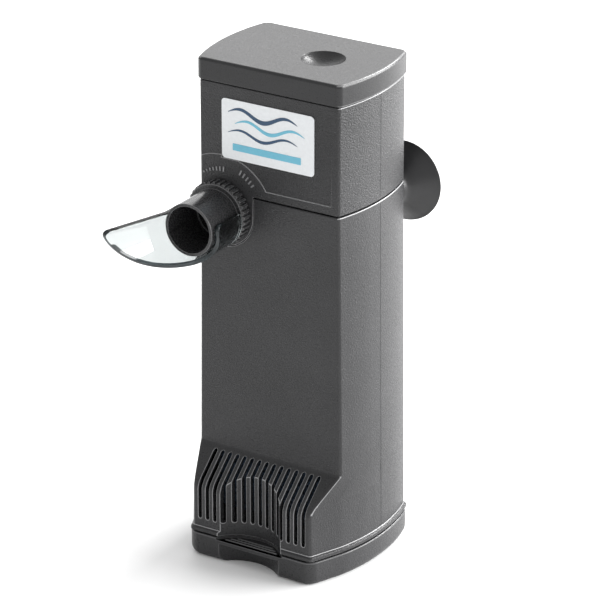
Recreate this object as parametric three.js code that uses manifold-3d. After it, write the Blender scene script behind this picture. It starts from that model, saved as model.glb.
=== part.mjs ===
// Internal aquarium power filter.
// Millimetres, +Z up. X is right seen from the front, the front faces -Y.
// Origin: underside of the base cap, on the body's centreline.
import * as THREE from 'three';
import { mergeVertices } from 'three/addons/utils/BufferGeometryUtils.js';
import Module from 'manifold-3d';

const wasm = await Module();
wasm.setup();

// ---- driving dimensions -------------------------------------------------
const FRONT_Y = -22.5;          // flat front of the body
const BACK_Y = 23.7;            // flat back of the body
const STEP_Y = -35.7;           // front of the intake step
const HALF_WIDTH = 33.65;       // widest half-width of the bowed sides
const SIDE_RADIUS = 77.5;       // plan radius of the bowed sides
const SIDE_MID_Y = 1.0;         // where the sides are widest
const FORWARD_TAPER = 1.35;     // how much faster the step narrows than the sides
const CORNER_RADIUS = 1.0;      // plan radius of the vertical edges
const DRAFT = 0.0125;           // side growth per mm below the head
const WALL = 2.0;

const CAP_JOINT_Z = 9.8;        // base cap to container
const SHELL_BOTTOM_Z = 10.3;
const BEVEL_LOW_Z = 29.9;
const BEVEL_HIGH_Z = 41.5;
const SHELL_TOP_Z = 145.0;
const HEAD_Z = 145.6;           // underside of the motor head
const HEAD_TOP_Z = 187.45;
const LID_Z = 187.95;
const TOP_Z = 196.3;

const SCOOP_X = -0.5;           // thumb scoop, an upright cylinder
const SCOOP_RADIUS = 17.4;
const SCOOP_DEPTH = 6.4;

const SLOT_COUNT = 15;
const SLOT_PITCH = 3.3;
const SLOT_WIDTH = 1.6;
const SLOT_LOW_Z = 15.6;
const SLOT_HIGH_Z = 40.2;

const OUTLET_X = -20.5;
const OUTLET_Z = 137.5;
const MOUTH_Y = -45.0;
const TUBE_OUT_R = 10.2;
const TUBE_IN_R = 9.05;
const BOSS_R = 13.5;
const NOTCH_R = 13.8;
const RING_R = 12.7;
const RING_TEETH = 36;

const ROTOR_X = -4;
const ROTOR_Y = 2;
const SHAFT_R = 1.2;
const SHAFT_BORE_R = 1.28;
const HOUSING_R = 17.2;
const DUCT_X = -20.2;

const CUP_X = 21;
const CUP_Z = 138;
const CUP_RIM_Y = 40.0;

const GAP = 0.3;                // clearance between neighbouring pieces

// ---- materials ----------------------------------------------------------
function plastic(colour, roughness) {
  return new THREE.MeshStandardMaterial({ color: colour, roughness, metalness: 0 });
}
const bodyGrey = plastic(0x4a4a4c, 0.55);
const pumpBlack = plastic(0x252527, 0.4);
const rubberBlack = plastic(0x1b1b1c, 0.6);
const foamBlue = plastic(0x2b3a4c, 0.95);
const clearPlastic = new THREE.MeshStandardMaterial({
  color: 0xe8eeee, roughness: 0.08, metalness: 0, transparent: true, opacity: 0.35,
});
const labelWhite = plastic(0xf1f2f1, 0.4);
const steel = new THREE.MeshStandardMaterial({ color: 0x8d9093, roughness: 0.4, metalness: 0.9 });
const copper = new THREE.MeshStandardMaterial({ color: 0xb0683a, roughness: 0.35, metalness: 0.9 });
const ferrite = plastic(0x2d2d30, 0.5);
const ceramic = plastic(0xe9e6df, 0.3);
const bobbinWhite = plastic(0xd9d6cc, 0.5);

// ---- solids -------------------------------------------------------------
function solid(geometry) {
  const bare = geometry.index ? geometry.toNonIndexed() : geometry.clone();
  bare.deleteAttribute('normal');
  bare.deleteAttribute('uv');
  const merged = mergeVertices(bare, 1e-4);
  const source = merged.index.array;
  const triangles = [];
  for (let i = 0; i < source.length; i += 3) {
    const [a, b, c] = [source[i], source[i + 1], source[i + 2]];
    if (a !== b && b !== c && c !== a) {
      triangles.push(a, b, c);
    }
  }
  const mesh = new wasm.Mesh({
    numProp: 3,
    vertProperties: new Float32Array(merged.attributes.position.array),
    triVerts: new Uint32Array(triangles),
  });
  return new wasm.Manifold(mesh);
}

function box(x0, x1, y0, y1, z0, z1) {
  const geometry = new THREE.BoxGeometry(x1 - x0, y1 - y0, z1 - z0);
  geometry.translate((x0 + x1) / 2, (y0 + y1) / 2, (z0 + z1) / 2);
  return solid(geometry);
}

// Upright cylinder.
function rod(x, y, radius, z0, z1, segments = 32) {
  const geometry = new THREE.CylinderGeometry(radius, radius, z1 - z0, segments);
  geometry.rotateX(Math.PI / 2);
  geometry.translate(x, y, (z0 + z1) / 2);
  return solid(geometry);
}

// Cylinder lying along Y.
function bar(x, z, radius, y0, y1, segments = 40) {
  const geometry = new THREE.CylinderGeometry(radius, radius, y1 - y0, segments);
  geometry.translate(x, (y0 + y1) / 2, z);
  return solid(geometry);
}

// Closed outline of [across, along] points turned about an upright axis.
function turned(x, y, profile, segments = 32) {
  const points = profile.map(([r, z]) => new THREE.Vector2(r, z));
  const geometry = new THREE.LatheGeometry(points, segments);
  geometry.rotateX(Math.PI / 2);
  geometry.translate(x, y, 0);
  return solid(geometry);
}

// The same about an axis along Y: profile points are [across, y].
function turnedAlongY(x, z, profile, segments = 32) {
  const points = profile.map(([r, y]) => new THREE.Vector2(r, y));
  const geometry = new THREE.LatheGeometry(points, segments);
  geometry.translate(x, 0, z);
  return solid(geometry);
}

function extrudedAlongZ(points, z0, z1) {
  const shape = new THREE.Shape(points.map(([x, y]) => new THREE.Vector2(x, y)));
  const geometry = new THREE.ExtrudeGeometry(shape, { depth: z1 - z0, bevelEnabled: false });
  geometry.translate(0, 0, z0);
  return solid(geometry);
}

// Outline of [x, z] points, extruded from y0 to y1.
function extrudedAlongY(points, y0, y1) {
  const shape = new THREE.Shape(points.map(([x, z]) => new THREE.Vector2(x, z)));
  const geometry = new THREE.ExtrudeGeometry(shape, { depth: y1 - y0, bevelEnabled: false });
  geometry.rotateX(Math.PI / 2);
  geometry.translate(0, y1, 0);
  return solid(geometry);
}

function union(...pieces) {
  return pieces.reduce((sum, piece) => sum.add(piece));
}

function cut(body, ...tools) {
  return tools.reduce((rest, tool) => rest.subtract(tool), body);
}

// ---- body outline -------------------------------------------------------
function draftAt(z) {
  return z < HEAD_Z ? DRAFT * (HEAD_Z - z) : 0;
}

// Half-width of the body at y: a bowed side, straight forward of the front.
function halfWidth(y, extra) {
  const yy = Math.max(y, FRONT_Y);
  const bow = SIDE_RADIUS - Math.sqrt(SIDE_RADIUS ** 2 - (yy - SIDE_MID_Y) ** 2);
  const slope = (FRONT_Y - SIDE_MID_Y) / SIDE_RADIUS;
  const forward = Math.min(0, y - FRONT_Y);
  return HALF_WIDTH + extra - bow - forward * slope * FORWARD_TAPER;
}

// One half of the outline from the front centre to the back centre.
function halfOutline(front, back, extra, radius) {
  const points = [];
  const corner = 4;
  const side = 8;
  const xf = halfWidth(front, extra);
  const xb = halfWidth(back, extra);
  for (let i = 0; i <= corner; i += 1) {
    const a = -Math.PI / 2 + (Math.PI / 2) * (i / corner);
    const y = front + radius + radius * Math.sin(a);
    const x = halfWidth(y, extra) - radius + radius * Math.cos(a);
    points.push([i === 0 ? xf - radius : x, y]);
  }
  for (let i = 1; i < side; i += 1) {
    const t = i / side;
    const y = front + radius + (back - front - 2 * radius) * t;
    points.push([halfWidth(y, extra), y]);
  }
  for (let i = 0; i <= corner; i += 1) {
    const a = (Math.PI / 2) * (i / corner);
    const y = back - radius + radius * Math.sin(a);
    const x = halfWidth(y, extra) - radius + radius * Math.cos(a);
    points.push([i === corner ? xb - radius : x, y]);
  }
  return points;
}

// Closed ring at height z, counter-clockwise seen from above.
function ring(z, front, back, extra, radius = CORNER_RADIUS) {
  const right = halfOutline(front, back, extra, radius);
  const left = right.map(([x, y]) => [-x, y]).reverse();
  return [...right, ...left].map(([x, y]) => new THREE.Vector3(x, y, z));
}

// Solid through stacked rings, capped at both ends.
function loft(rings) {
  const count = rings[0].length;
  const positions = [];
  rings.forEach((points) => points.forEach((p) => positions.push(p.x, p.y, p.z)));
  const index = [];
  for (let level = 0; level + 1 < rings.length; level += 1) {
    for (let i = 0; i < count; i += 1) {
      const a = level * count + i;
      const b = level * count + ((i + 1) % count);
      index.push(a, b, b + count, a, b + count, a + count);
    }
  }
  [0, rings.length - 1].forEach((level) => {
    const centre = new THREE.Vector3();
    rings[level].forEach((p) => centre.add(p));
    centre.divideScalar(count);
    const hub = positions.length / 3;
    positions.push(centre.x, centre.y, centre.z);
    for (let i = 0; i < count; i += 1) {
      const a = level * count + i;
      const b = level * count + ((i + 1) % count);
      index.push(...(level === 0 ? [hub, b, a] : [hub, a, b]));
    }
  });
  const geometry = new THREE.BufferGeometry();
  geometry.setAttribute('position', new THREE.Float32BufferAttribute(positions, 3));
  geometry.setIndex(index);
  return solid(geometry);
}

// Front of the container at height z: step, soft bend, bevel, flat front.
function containerFront(z) {
  const slope = (FRONT_Y - STEP_Y) / (BEVEL_HIGH_Z - BEVEL_LOW_Z);
  const bend = 2.4;
  const over = z - (BEVEL_LOW_Z - bend);
  if (over <= 0) {
    return STEP_Y;
  }
  if (z < BEVEL_LOW_Z + bend) {
    return STEP_Y + (slope * over * over) / (4 * bend);
  }
  return Math.min(FRONT_Y, STEP_Y + slope * (z - BEVEL_LOW_Z));
}

function scoop(radius, y, z0, z1) {
  return rod(SCOOP_X, y, radius, z0, z1, 56);
}

// ---- container ----------------------------------------------------------
const BEND_LEVELS = [27.5, 28.7, 29.9, 31.1, 32.3];
const FOOT_FLANGE = [[0, 0.8], [0.3, 1.05], [1.0, 1.05], [1.5, 0.85], [1.8, 0.5], [1.95, 0]];
const TOP_BREAK = 0.4;          // broken edge at the top of each shell

function containerOuter() {
  const at = (z, grow) => ring(z, containerFront(z) - grow, BACK_Y + grow, draftAt(z) + grow);
  return loft([
    ...FOOT_FLANGE.map(([rise, grow]) => at(SHELL_BOTTOM_Z + rise, grow)),
    ...BEND_LEVELS.map((z) => at(z, 0)),
    at(BEVEL_HIGH_Z, 0),
    at(SHELL_TOP_Z - TOP_BREAK, 0),
    at(SHELL_TOP_Z, -TOP_BREAK),
  ]);
}

function containerInner() {
  const at = (z, front) => ring(z, front + WALL, BACK_Y - WALL, draftAt(z) - WALL, 1.4);
  return loft([
    at(SHELL_BOTTOM_Z - 1, STEP_Y),
    ...BEND_LEVELS.map((z) => at(z, containerFront(z))),
    at(BEVEL_HIGH_Z, FRONT_Y),
    at(SHELL_TOP_Z + 1, FRONT_Y),
  ]);
}

function slotCutter(x) {
  const r = SLOT_WIDTH / 2;
  const points = [];
  for (let i = 0; i <= 4; i += 1) {
    const a = Math.PI + (Math.PI * i) / 4;
    points.push([x + r * Math.cos(a), SLOT_LOW_Z + r + r * Math.sin(a)]);
  }
  for (let i = 0; i <= 4; i += 1) {
    const a = (Math.PI * i) / 4;
    points.push([x + r * Math.cos(a), SLOT_HIGH_Z - r + r * Math.sin(a)]);
  }
  return extrudedAlongY(points, STEP_Y - 3, FRONT_Y + 2);
}

function outletNotch(radius, y0, y1) {
  return union(
    bar(OUTLET_X, OUTLET_Z, radius, y0, y1, 44),
    box(OUTLET_X - radius, OUTLET_X + radius, y0, y1, OUTLET_Z, HEAD_Z + 2),
  );
}

const RAIL_HALF = 9;            // rear dovetail rail, half-width at the wall
const RAIL_FLARE = 1.8;
const RAIL_DEPTH = 2.4;
const RAIL_Z = [92, 143.2];

function railPrism(grow, z0, z1, y0, y1) {
  const flare = RAIL_FLARE / RAIL_DEPTH;
  const inner = RAIL_HALF + grow + flare * (y0 - BACK_Y);
  const outer = RAIL_HALF + grow + flare * (y1 - BACK_Y);
  return extrudedAlongZ([[-inner, y0], [inner, y0], [outer, y1], [-outer, y1]], z0, z1);
}

function containerShell() {
  const scoopY = STEP_Y - SCOOP_RADIUS + SCOOP_DEPTH;
  const cavity = cut(containerInner(), scoop(SCOOP_RADIUS + WALL, scoopY, 0, BEVEL_HIGH_Z));
  let shell = cut(containerOuter(), cavity, scoop(SCOOP_RADIUS, scoopY, 0, BEVEL_HIGH_Z));
  shell = cut(shell, outletNotch(NOTCH_R, FRONT_Y - 3, -12.6));
  const first = -((SLOT_COUNT - 1) / 2) * SLOT_PITCH;
  for (let i = 0; i < SLOT_COUNT; i += 1) {
    shell = cut(shell, slotCutter(first + i * SLOT_PITCH));
  }
  const rail = railPrism(0, RAIL_Z[0], RAIL_Z[1], BACK_Y - 0.5, BACK_Y + RAIL_DEPTH);
  return shell.add(rail);
}

// ---- base cap and foam --------------------------------------------------
const LEDGE_Z = 9.0;
const LEDGE_UNDER_Z = 7.5;
const CAP_FRONT_GROW = 1.2;
const CAP_SIDE_EXTRA = 1.67;    // the drafted sides at the cap's height
const CAP_CORNER = 3.2;
const GRIP_WALL = 3.5;          // wall behind the cap's thumb grip

function baseCap() {
  const at = (z, grow) => ring(z, STEP_Y - grow, BACK_Y - 0.35 + grow, CAP_SIDE_EXTRA + grow, CAP_CORNER);
  const outer = loft([
    at(0, -1.5), at(0.35, -0.7), at(1.0, 0.1), at(2.0, 0.75), at(3.4, 1.1),
    at(4.6, CAP_FRONT_GROW), at(CAP_JOINT_Z - TOP_BREAK, CAP_FRONT_GROW),
    at(CAP_JOINT_Z, CAP_FRONT_GROW - TOP_BREAK),
  ]);
  const inside = (z, grow, radius) => ring(z, STEP_Y - grow, BACK_Y + grow, CAP_SIDE_EXTRA + grow, radius);
  const scoopY = STEP_Y - CAP_FRONT_GROW - SCOOP_RADIUS + SCOOP_DEPTH;
  const grip = scoop(SCOOP_RADIUS, scoopY, -1, LEDGE_UNDER_Z);
  const gripWall = scoop(SCOOP_RADIUS + GRIP_WALL, scoopY, -1, CAP_JOINT_Z + 8);
  const pocket = cut(
    union(
      loft([inside(WALL, -1.2, 2), inside(8.2, -1.2, 2)]),
      loft([inside(8.1, -3.95, 1), inside(20, -3.95, 1)]),
    ),
    gripWall,
  );
  const rimOuter = loft([inside(9, -2.4, 1), inside(15.0, -2.4, 1)]);
  const rimInner = loft([inside(8, -3.95, 1), inside(16, -3.95, 1)]);
  const rimClear = scoop(SCOOP_RADIUS + WALL + GAP, scoopY + CAP_FRONT_GROW, CAP_JOINT_Z, 20);
  const rim = cut(rimOuter, rimInner, rimClear);
  const ledgeCut = scoop(SCOOP_RADIUS + 0.5, scoopY + CAP_FRONT_GROW, LEDGE_Z, 20);
  let cap = cut(cut(outer, pocket).add(rim), grip, ledgeCut);
  for (let i = 0; i < 3; i += 1) {
    const y = STEP_Y + 0.5 + i * 1.5;
    const half = [11.5, 10, 8][i];
    cap = cap.add(box(SCOOP_X - half, SCOOP_X + half, y, y + 0.5, LEDGE_Z - 0.3, LEDGE_Z + 0.4));
  }
  const ribs = [-14, 2, 16];
  ribs.forEach((y) => {
    cap = cap.add(box(-28, 28, y - 0.8, y + 0.8, WALL - 0.5, FOAM_LOW_Z - GAP));
  });
  return cap;
}

const FOAM_LOW_Z = 14.5;
const FOAM_HIGH_Z = 118;

function foamCartridge() {
  const at = (z) => ring(z, FRONT_Y + WALL + 0.9, BACK_Y - WALL - 2.4, -WALL - 2.4, 3);
  const core = rod(ROTOR_X, ROTOR_Y, 8.6, 44, FOAM_HIGH_Z + 2, 28);
  return cut(loft([at(FOAM_LOW_Z), at(FOAM_HIGH_Z)]), core);
}

// ---- motor head ---------------------------------------------------------
const WELL_R = 9.6;
const WELL_BORE_R = 8.2;
const HEAD_FLOOR_Z = 147.6;
const PANEL = { right: 26.8, low: 148.9, fadeLow: 182.3, fadeHigh: 186, discR: 22.3, depth: 0.35 };
const LABEL = { left: -20.4, right: 19.5, low: 158.95, high: 182.25, corner: 1.5, thick: 0.3 };

function quadrants(radius, y0, y1) {
  const squareA = box(OUTLET_X, OUTLET_X + radius * 2, y0, y1, OUTLET_Z, OUTLET_Z + radius * 2);
  const squareB = box(OUTLET_X - radius * 2, OUTLET_X, y0, y1, OUTLET_Z - radius * 2, OUTLET_Z);
  const hub = bar(OUTLET_X, OUTLET_Z, 1.6, y0, y1, 16);
  return union(squareA, squareB, hub).intersect(bar(OUTLET_X, OUTLET_Z, radius, y0, y1, 32));
}

// The label's shallow panel: it fades out at the top, runs off the left
// corner, and gives way to a disc about the outlet.
function panelRecess() {
  const { right, low, fadeLow, fadeHigh, discR, depth } = PANEL;
  const left = -HALF_WIDTH - 5;
  const front = FRONT_Y - 1;
  const fade = new THREE.BoxGeometry(right - left, 1 + depth, fadeHigh - fadeLow);
  const place = fade.attributes.position;
  for (let i = 0; i < place.count; i += 1) {
    if (place.getY(i) > 0 && place.getZ(i) > 0) {
      place.setY(i, place.getY(i) - depth);
    }
  }
  fade.translate((left + right) / 2, front + (1 + depth) / 2, (fadeLow + fadeHigh) / 2);
  const disc = cut(
    bar(OUTLET_X, OUTLET_Z, discR, front - 1, FRONT_Y + 2, 96),
    box(LABEL.left - GAP, right, front - 2, FRONT_Y + 3, LABEL.low - GAP, fadeHigh),
  );
  return cut(box(left, right, front, FRONT_Y + depth, low, fadeLow).add(solid(fade)), disc);
}

function headShell() {
  const at = (z, grow, radius = CORNER_RADIUS) => ring(z, FRONT_Y - grow, BACK_Y + grow, grow, radius);
  const outer = loft([
    at(HEAD_Z, -TOP_BREAK), at(HEAD_Z + TOP_BREAK, 0),
    at(HEAD_TOP_Z - TOP_BREAK, 0), at(HEAD_TOP_Z, -TOP_BREAK),
  ]);
  const cavity = loft([at(HEAD_FLOOR_Z, -2.2, 1.2), at(HEAD_TOP_Z + 1, -2.2, 1.2)]);
  const bossLimit = loft([at(OUTLET_Z - 20, 0), at(HEAD_Z + 1, 0)]);
  const boss = cut(
    outletNotch(BOSS_R, FRONT_Y - 1, -13).intersect(bossLimit),
    rod(ROTOR_X, ROTOR_Y, HOUSING_R + GAP, OUTLET_Z - 20, HEAD_Z, 40),
  );
  const skirtOuter = loft([at(139.8, -2.35, 1), at(HEAD_Z + 0.5, -2.35, 1)]);
  const skirtInner = loft([at(139, -3.85, 1), at(HEAD_Z + 1, -3.85, 1)]);
  const skirt = cut(skirtOuter, skirtInner, box(-40, -5, -40, 8.5, 130, HEAD_Z));
  const well = union(
    rod(ROTOR_X, ROTOR_Y, WELL_R, HEAD_Z + 0.5, 164.8, 32),
    rod(ROTOR_X, ROTOR_Y, 5, 164, 168, 24),
  );
  return cut(
    union(cut(outer, cavity), boss, skirt, well),
    rod(ROTOR_X, ROTOR_Y, WELL_BORE_R, HEAD_Z - 1, 163, 32),
    rod(ROTOR_X, ROTOR_Y, 2.8, 162, 166, 24),
    bar(OUTLET_X, OUTLET_Z, 9.9, FRONT_Y - 3, -16.9, 40),
    bar(OUTLET_X, OUTLET_Z, 8.6, -17, -12, 40),
    bar(GLAND_X, GLAND_Z, GLAND_R + GAP, 18, 30, 28),
    panelRecess(),
  ).add(quadrants(8.9, -16.9, -15.7));
}

const GLAND_X = -12;
const GLAND_Z = 177;
const GLAND_R = 4.3;
const GLAND_BORE_R = 3.15;

function cableGland() {
  return turnedAlongY(GLAND_X, GLAND_Z, [
    [GLAND_BORE_R, 19.6], [GLAND_R, 19.6], [GLAND_R, BACK_Y + GAP],
    [5.6, BACK_Y + GAP], [5.6, 25.2], [4.9, 26.2], [GLAND_BORE_R, 26.2], [GLAND_BORE_R, 19.6],
  ], 28);
}

const DIMPLE = { x: 9.7, y: -0.4, radius: 8.25, depth: 3.4 };
const LID_CORNER = 1.9;

function topCap() {
  const at = (z, grow, radius = LID_CORNER) => ring(z, FRONT_Y - grow, BACK_Y + grow, grow, radius);
  const outer = loft([
    at(LID_Z, 0.45), at(LID_Z + 0.4, 0.8), at(TOP_Z - 1.2, 0.78), at(TOP_Z - 0.7, 0.68),
    at(TOP_Z - 0.3, 0.38), at(TOP_Z - 0.08, -0.02), at(TOP_Z, -0.45),
  ]);
  const plug = loft([at(183, -2.6, 1), at(LID_Z + 0.5, -2.6, 1)]);
  const pocket = loft([at(182, -4.2, 1), at(192.6, -4.2, 1)]);
  const seat = rod(DIMPLE.x, DIMPLE.y, DIMPLE.radius + 1.6, TOP_Z - DIMPLE.depth - WALL, 194.5, 36);
  const { x, y, radius, depth } = DIMPLE;
  const dish = turned(x, y, [
    [0, TOP_Z - depth], [radius * 0.35, TOP_Z - depth * 0.96], [radius * 0.62, TOP_Z - depth * 0.8],
    [radius * 0.82, TOP_Z - depth * 0.52], [radius * 0.93, TOP_Z - depth * 0.2],
    [radius, TOP_Z], [radius, TOP_Z + 1], [0, TOP_Z + 1],
  ], 28);
  return cut(union(cut(outer.add(plug), pocket), seat), dish);
}

function frontLabel() {
  const { left: x0, right: x1, low: z0, high: z1, corner: r } = LABEL;
  const corners = [[x1 - r, z1 - r, 0], [x0 + r, z1 - r, 1], [x0 + r, z0 + r, 2], [x1 - r, z0 + r, 3]];
  const points = [];
  corners.forEach(([x, z, quarter]) => {
    for (let i = 0; i <= 4; i += 1) {
      const a = (Math.PI / 2) * (quarter + i / 4);
      points.push([x + r * Math.cos(a), z + r * Math.sin(a)]);
    }
  });
  return extrudedAlongY(points, FRONT_Y, FRONT_Y + LABEL.thick);
}

// ---- motor --------------------------------------------------------------
const LEG = { inner: 10, outer: 17, y0: -5, y1: 9 };

function statorCore() {
  const [a, b] = [LEG.inner, LEG.outer];
  const full = box(ROTOR_X - b, ROTOR_X + b, LEG.y0, LEG.y1, 148.2, 183.2);
  return cut(full, box(ROTOR_X - a, ROTOR_X + a, LEG.y0 - 1, LEG.y1 + 1, 147, 176.8));
}

// A square tube round one leg, side is -1 or +1.
function legSleeve(side, clear, build, z0, z1) {
  const mid = ROTOR_X + side * (LEG.inner + LEG.outer) / 2;
  const half = (LEG.outer - LEG.inner) / 2 + clear;
  const [y0, y1] = [LEG.y0 - clear, LEG.y1 + clear];
  return cut(
    box(mid - half - build, mid + half + build, y0 - build, y1 + build, z0, z1),
    box(mid - half, mid + half, y0, y1, z0 - 1, z1 + 1),
  );
}

function coilBobbin(side) {
  return union(
    legSleeve(side, GAP, 1, 168.6, 176.4),
    legSleeve(side, GAP, 4.2, 168.6, 169.5),
    legSleeve(side, GAP, 4.2, 175.5, 176.4),
  );
}

function coilWinding(side) {
  return legSleeve(side, GAP + 1.1, 2.8, 169.6, 175.4);
}

function rotorMagnet() {
  return cut(rod(ROTOR_X, ROTOR_Y, 7.5, 147.2, 161.6, 36), rod(ROTOR_X, ROTOR_Y, 2.6, 146, 163, 24));
}

function impeller() {
  let wheel = union(
    rod(ROTOR_X, ROTOR_Y, 4, 130.4, 146.9, 24),
    rod(ROTOR_X, ROTOR_Y, 2.3, 146, 161.9, 24),
    rod(ROTOR_X, ROTOR_Y, 10.6, 138.6, 139.8, 36),
  );
  for (let i = 0; i < 6; i += 1) {
    const blade = new THREE.BoxGeometry(8, 1.1, 8.2);
    blade.translate(6.6, 0, 134.7);
    blade.rotateZ((i * Math.PI) / 3);
    blade.translate(ROTOR_X, ROTOR_Y, 0);
    wheel = wheel.add(solid(blade));
  }
  return cut(wheel, rod(ROTOR_X, ROTOR_Y, SHAFT_BORE_R, 129, 163, 24));
}

function ceramicShaft() {
  return rod(ROTOR_X, ROTOR_Y, SHAFT_R, 122.4, 164.8, 24);
}

function shaftBush(z0, z1, floor, roof) {
  return cut(rod(ROTOR_X, ROTOR_Y, 2.5, z0, z1, 24), rod(ROTOR_X, ROTOR_Y, SHAFT_BORE_R, floor, roof, 24));
}

// ---- pump chamber -------------------------------------------------------

function pumpHousing() {
  const top = HEAD_Z - GAP;
  const outer = union(
    rod(ROTOR_X, ROTOR_Y, HOUSING_R, 127.3, top, 40),
    bar(DUCT_X, OUTLET_Z, 9.8, -12.7, 6.5, 48).intersect(box(-40, 0, -30, 30, 120, top)),
  );
  return cut(
    outer,
    rod(ROTOR_X, ROTOR_Y, 15.4, 129.3, top + 1, 40),
    bar(DUCT_X, OUTLET_Z, 8.2, -14, 4.5, 48),
    rod(ROTOR_X, ROTOR_Y, 12.2, 126, 131, 36),
  );
}

function pumpCover() {
  const plate = union(
    rod(ROTOR_X, ROTOR_Y, 11.9, 126, 129.3, 36),
    rod(ROTOR_X, ROTOR_Y, 14.4, 125.4, 127.0, 36),
    rod(ROTOR_X, ROTOR_Y, 8.1, 113, 126.5, 36),
  );
  const bore = rod(ROTOR_X, ROTOR_Y, 6.3, 112, 131, 32);
  const spider = union(
    box(ROTOR_X - 7, ROTOR_X + 7, ROTOR_Y - 0.9, ROTOR_Y + 0.9, 120, 124.4),
    box(ROTOR_X - 0.9, ROTOR_X + 0.9, ROTOR_Y - 7, ROTOR_Y + 7, 120, 124.4),
    rod(ROTOR_X, ROTOR_Y, 3.6, 120, 124.4, 24),
  );
  return cut(cut(plate, bore).add(spider), rod(ROTOR_X, ROTOR_Y, 2.7, 121.4, 125, 24));
}

// ---- outlet -------------------------------------------------------------
function knurledOutline() {
  const points = [];
  for (let i = 0; i < RING_TEETH; i += 1) {
    const pitch = (Math.PI * 2) / RING_TEETH;
    [[0.0, RING_R - 0.75], [0.28, RING_R], [0.6, RING_R], [0.88, RING_R - 0.75]].forEach(([t, r]) => {
      const a = (i + t) * pitch;
      points.push([OUTLET_X + r * Math.cos(a), OUTLET_Z + r * Math.sin(a)]);
    });
  }
  return points;
}

const RING_FRONT_Y = -27.4;
const RING_CHAMFER = 0.9;

// The finger ring: its teeth slope back at the front.
function knurledRing() {
  const back = FRONT_Y - GAP;
  const crest = RING_R + 0.1;
  return extrudedAlongY(knurledOutline(), RING_FRONT_Y, back).intersect(turnedAlongY(OUTLET_X, OUTLET_Z, [
    [0, RING_FRONT_Y], [crest - RING_CHAMFER, RING_FRONT_Y], [crest, RING_FRONT_Y + RING_CHAMFER],
    [crest, back], [0, back],
  ], RING_TEETH * 2));
}

function flowTube() {
  const body = union(
    knurledRing(),
    bar(OUTLET_X, OUTLET_Z, TUBE_OUT_R, MOUTH_Y, -24, 40),
    bar(OUTLET_X, OUTLET_Z, 9.6, -24, -17.2, 40),
  );
  return cut(
    body,
    bar(OUTLET_X, OUTLET_Z, TUBE_IN_R, MOUTH_Y - 1, -26, 40),
    bar(OUTLET_X, OUTLET_Z, 8.5, -27, -16, 40),
  ).add(quadrants(8.9, -18.4, -17.2));
}

const SPOUT_YAW = Math.tan(17 * Math.PI / 180);
const SPOUT_STRETCH = Math.hypot(1, SPOUT_YAW);
const SPOUT_OUT_R = 12.3;
const SPOUT_IN_R = TUBE_OUT_R + GAP;
const COLLAR_Y = -27.7;
const COLLAR_END = 17 * Math.PI / 180;      // right-hand end of the C
const COLLAR_START = 158 * Math.PI / 180;   // upper left end of the C
const LIP = { x: -40.8, y: -70.7, alongX: 0.596, curve: 0.0073, alongZ: -0.534 };
const KEEL = { y: -38, slope: 0.117 };      // where the underside starts to deepen

// A point of the spout's wall: straight round the tube, then turned left.
function spoutPoint(angle, radius, y) {
  const across = radius * Math.cos(angle);
  const straight = OUTLET_X + across;
  const turned = OUTLET_X + SPOUT_STRETCH * across + (y - MOUTH_Y) * SPOUT_YAW;
  const rise = Math.sin(angle);
  const keel = KEEL.slope * Math.max(0, KEEL.y - y) * Math.min(0, rise);
  return [Math.min(straight, turned), y, OUTLET_Z + radius * rise + keel];
}

// Where a line of the wall meets the slanting, slightly curved lip.
function spoutLip(angle, radius) {
  let [near, far] = [COLLAR_Y, -90];
  for (let i = 0; i < 30; i += 1) {
    const y = (near + far) / 2;
    const [x, , z] = spoutPoint(angle, radius, y);
    const over = x - LIP.x;
    const lip = LIP.y + LIP.alongX * over + LIP.curve * over * over + LIP.alongZ * (z - OUTLET_Z);
    [near, far] = y < lip ? [near, y] : [y, far];
  }
  return near;
}

function spout() {
  const [across, along] = [26, 10];
  const positions = [];
  const index = [];
  [SPOUT_OUT_R, SPOUT_IN_R].forEach((radius) => {
    for (let i = 0; i <= across; i += 1) {
      const angle = COLLAR_START + ((COLLAR_END + Math.PI * 2 - COLLAR_START) * i) / across;
      const lip = spoutLip(angle, radius);
      for (let k = 0; k <= along; k += 1) {
        positions.push(...spoutPoint(angle, radius, COLLAR_Y + ((lip - COLLAR_Y) * k) / along));
      }
    }
  });
  const at = (wall, i, k) => (wall * (across + 1) + i) * (along + 1) + k;
  const quad = (a, b, c, d) => index.push(a, b, c, a, c, d);
  for (let i = 0; i < across; i += 1) {
    for (let k = 0; k < along; k += 1) {
      quad(at(0, i, k), at(0, i + 1, k), at(0, i + 1, k + 1), at(0, i, k + 1));
      quad(at(1, i, k), at(1, i, k + 1), at(1, i + 1, k + 1), at(1, i + 1, k));
    }
    quad(at(0, i, 0), at(1, i, 0), at(1, i + 1, 0), at(0, i + 1, 0));
    quad(at(0, i, along), at(0, i + 1, along), at(1, i + 1, along), at(1, i, along));
  }
  for (let k = 0; k < along; k += 1) {
    quad(at(0, 0, k), at(0, 0, k + 1), at(1, 0, k + 1), at(1, 0, k));
    quad(at(0, across, k), at(1, across, k), at(1, across, k + 1), at(0, across, k + 1));
  }
  const geometry = new THREE.BufferGeometry();
  geometry.setAttribute('position', new THREE.Float32BufferAttribute(positions, 3));
  geometry.setIndex(index);
  return solid(geometry);
}

// ---- holder at the back -------------------------------------------------
function suctionBracket() {
  const [z0, z1] = [127, 143.6];
  const plate = box(-27, 27, 26.5, 28.6, z0, z1);
  const block = box(-14, 14, BACK_Y + GAP, 28.6, z0, z1);
  const pocket = railPrism(GAP, z0 - 1, z1 + 1, BACK_Y, BACK_Y + RAIL_DEPTH + GAP);
  const holes = [-1, 1].map((side) => bar(side * CUP_X, CUP_Z, 3.3, 25, 30, 28));
  return cut(plate.add(block), pocket, ...holes);
}

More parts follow.
